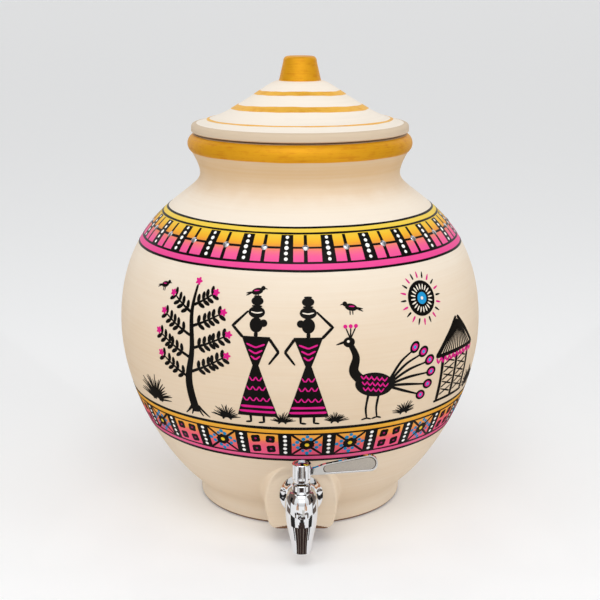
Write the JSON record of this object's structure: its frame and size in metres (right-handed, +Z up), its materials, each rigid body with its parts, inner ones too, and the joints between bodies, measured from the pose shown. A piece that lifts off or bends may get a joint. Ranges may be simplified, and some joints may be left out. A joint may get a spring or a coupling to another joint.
{
  "type": "clay water pot with tap",
  "caption": "Round clay water pot with a lift-off domed lid and a quarter-turn lever tap near its foot, for keeping and serving drinking water.",
  "frame": {"origin": "centre of the flat base, on the pot's axis", "axes": "+Z up the pot's axis, -Y out of the pot along the tap, +X to the right of someone facing the tap"},
  "size_m": [0.2999, 0.316, 0.369],
  "materials": {
    "painted_clay": "matte emulsion paint on fired clay",
    "chrome_plate": "polished chrome plating",
    "plain_brass": "turned",
    "steel": "plain",
    "black_rubber": "moulded",
    "white_ptfe": "turned"
  },
  "bodies": {
    "pot": {"pot_body": "painted_clay", "tap_body": "chrome_plate", "wall_flange": "chrome_plate", "outer_seal_washer": "black_rubber", "inner_seal_washer": "black_rubber", "backing_washer": "steel", "lock_nut": "steel", "gland_ring": "chrome_plate", "stop_pin": "steel", "port_seat": "white_ptfe"},
    "lid": {"lid": "painted_clay"},
    "lever": {"valve_plug": "plain_brass", "thrust_washer": "white_ptfe", "plug_o_ring_lower": "black_rubber", "plug_o_ring_upper": "black_rubber", "lever_handle": "chrome_plate", "spring_washer": "steel", "handle_screw": "steel", "hub_cap": "chrome_plate"}
  },
  "joints": [
    {"name": "lid_lift", "type": "slide", "parent": "pot", "child": "lid", "axis": [0, 0, 1], "range_m": [0, 0.1]},
    {"name": "lever_turn", "type": "hinge", "parent": "pot", "child": "lever", "pos_m": [0, -0.1512, 0.07], "axis": [0, 0, 1], "range_deg": [-90, 0]}
  ]
}
